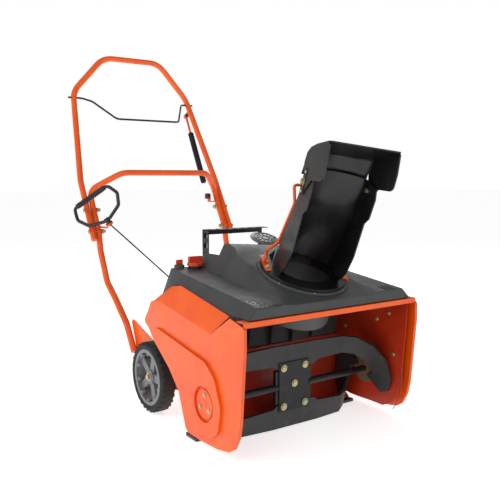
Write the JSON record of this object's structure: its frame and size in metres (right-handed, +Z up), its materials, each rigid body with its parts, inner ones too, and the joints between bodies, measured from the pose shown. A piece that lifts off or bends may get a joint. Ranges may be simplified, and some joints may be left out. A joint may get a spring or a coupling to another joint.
{
  "type": "single stage snowblower",
  "caption": "Walk-behind snow thrower: rubber-paddle auger in an open steel housing, hooded engine, turning discharge chute with tilting cap, wheels and a bolted tube handle.",
  "frame": {"origin": "on the ground, under the middle of the machine's outline", "axes": "+X to the operator's left hand, +Y from the intake back to the operator, +Z up"},
  "size_m": [0.6176, 1.3773, 1.1163],
  "materials": {
    "belt_rubber": "belt rubber",
    "black_plastic": "smooth moulded plastic",
    "black_steel": "satin black",
    "bright_steel": "stamped, bright",
    "cap_red": "moulded",
    "cast_aluminium": "as cast",
    "foam": "foam sleeve",
    "hood_plastic": "textured moulded plastic",
    "inner_orange": "powder coat, scuffed",
    "orange_paint": "gloss powder coat",
    "rim_plastic": "moulded plastic",
    "rope": "braided cord",
    "rubber": "moulded rubber",
    "tyre_rubber": "solid rubber",
    "zinc": "zinc plated"
  },
  "bodies": {
    "chassis": {"left_side_plate": "orange_paint", "right_side_plate": "orange_paint", "belt_wall": "inner_orange", "back_panel": "inner_orange", "lip_bar": "orange_paint", "scraper_bar": "black_plastic", "discharge_throat": "hood_plastic", "hood": "hood_plastic", "chute_ring": "hood_plastic", "auger_bearing_left": "zinc", "auger_bearing_right": "zinc", "rear_frame": "orange_paint", "axle": "zinc", "wheel_bolt_left": "zinc", "wheel_bolt_right": "zinc", "lower_handle": "orange_paint", "upper_handle": "orange_paint", "handle_bolt_upper_left": "zinc", "handle_bolt_upper_right": "zinc", "handle_bolt_lower_left": "zinc", "handle_bolt_lower_right": "zinc", "lever_bracket": "black_steel", "engine_block": "cast_aluminium", "recoil_starter": "black_plastic", "muffler": "bright_steel", "muffler_guard": "black_steel", "heat_shield": "bright_steel", "fuel_tank": "black_plastic", "air_box": "black_plastic", "drive_belt": "belt_rubber", "starter_rope": "rope"},
    "chute": {"chute": "black_plastic", "chute_handle": "orange_paint", "chute_bracket_left": "orange_paint", "chute_bracket_right": "orange_paint", "deflector_bolt_left": "zinc", "deflector_bolt_right": "zinc"},
    "deflector": {"deflector": "black_plastic"},
    "auger": {"auger_shaft": "black_steel", "upper_paddle": "rubber", "lower_paddle": "rubber", "front_clamp_plate": "black_steel", "auger_pulley": "black_steel"},
    "crank": {"crankshaft": "bright_steel"},
    "wheel_left": {"wheel_rim_left": "rim_plastic", "tyre_left": "tyre_rubber"},
    "wheel_right": {"wheel_rim_right": "rim_plastic", "tyre_right": "tyre_rubber"},
    "bail": {"clutch_bail": "black_steel"},
    "lever": {"chute_lever": "orange_paint", "lever_grip": "foam"},
    "guide_wheel": {"guide_roller": "black_plastic"},
    "starter_handle": {"recoil_handle": "black_plastic"},
    "cap": {"fuel_cap": "cap_red"},
    "key": {"switch_key": "cap_red"},
    "primer": {"primer_bulb": "cap_red"},
    "choke": {"choke_knob": "black_plastic"},
    "idler": {"idler_arm": "black_steel"},
    "idler_wheel": {"idler_pulley": "black_plastic"}
  },
  "joints": [
    {"name": "auger_spin", "type": "hinge", "parent": "chassis", "child": "auger", "pos_m": [0.01877, -0.34162, 0.1145], "axis": [1, 0, 0], "continuous": true},
    {"name": "crank_spin", "type": "hinge", "parent": "chassis", "child": "crank", "pos_m": [0.01877, -0.08462, 0.27], "axis": [1, 0, 0], "continuous": true},
    {"name": "wheel_left_spin", "type": "hinge", "parent": "chassis", "child": "wheel_left", "pos_m": [-0.24823, -0.02202, 0.1007], "axis": [1, 0, 0], "continuous": true},
    {"name": "wheel_right_spin", "type": "hinge", "parent": "chassis", "child": "wheel_right", "pos_m": [0.28577, -0.02202, 0.1007], "axis": [1, 0, 0], "continuous": true},
    {"name": "chute_turn", "type": "hinge", "parent": "chassis", "child": "chute", "pos_m": [0.01877, -0.36762, 0.4247], "axis": [0, -0.3633, 0.9317], "range_deg": [-77.6, 122.4]},
    {"name": "deflector_tilt", "type": "hinge", "parent": "chute", "child": "deflector", "pos_m": [-0.00829, -0.5245, 0.64636], "axis": [0.9245, -0.355, -0.1384], "range_deg": [0, 55]},
    {"name": "lever_swing", "type": "hinge", "parent": "chassis", "child": "lever", "pos_m": [0.25877, 0.67738, 0.912], "axis": [0, -0.889, 0.458], "range_deg": [-19.5, 30.7]},
    {"name": "bail_pull", "type": "hinge", "parent": "chassis", "child": "bail", "pos_m": [0.01877, 0.65232, 0.95253], "axis": [-1, 0, 0], "range_deg": [0, 114], "stiffness_Nm_per_rad": 0.3, "springref_deg": -22.92},
    {"name": "idler_swing", "type": "hinge", "parent": "chassis", "child": "idler", "pos_m": [0.27877, -0.26746, 0.24306], "axis": [1, 0, 0], "range_deg": [-4.2, 0]},
    {"name": "idler_spin", "type": "hinge", "parent": "idler", "child": "idler_wheel", "pos_m": [0.27877, -0.19267, 0.28364], "axis": [1, 0, 0], "continuous": true},
    {"name": "guide_spin", "type": "hinge", "parent": "chassis", "child": "guide_wheel", "pos_m": [0.22377, 0.46038, 0.597], "axis": [1, 0, 0], "continuous": true},
    {"name": "starter_pull", "type": "slide", "parent": "chassis", "child": "starter_handle", "axis": [-0.4257, 0.4027, 0.8103], "range_m": [0, 0.5], "stiffness_N_per_m": 20, "springref_m": -0.15},
    {"name": "fuel_cap_turn", "type": "hinge", "parent": "chassis", "child": "cap", "pos_m": [-0.15323, -0.10262, 0.4223], "axis": [0, 0, 1], "range_deg": [0, 180]},
    {"name": "key_pull", "type": "slide", "parent": "chassis", "child": "key", "axis": [0, 0, 1], "range_m": [0, 0.018]},
    {"name": "primer_push", "type": "slide", "parent": "chassis", "child": "primer", "axis": [0, -1, 0], "range_m": [0, 0.004], "stiffness_N_per_m": 300, "springref_m": -0.001},
    {"name": "choke_turn", "type": "hinge", "parent": "chassis", "child": "choke", "pos_m": [0.03677, 0.05538, 0.262], "axis": [0, 1, 0], "range_deg": [0, 90]}
  ],
  "couplings": [
    {"joint": "crank_spin", "follows": "auger_spin", "ratio": 2.75},
    {"joint": "lever_swing", "follows": "chute_turn", "ratio": 0.25},
    {"joint": "idler_swing", "follows": "bail_pull", "ratio": -0.03683}
  ]
}
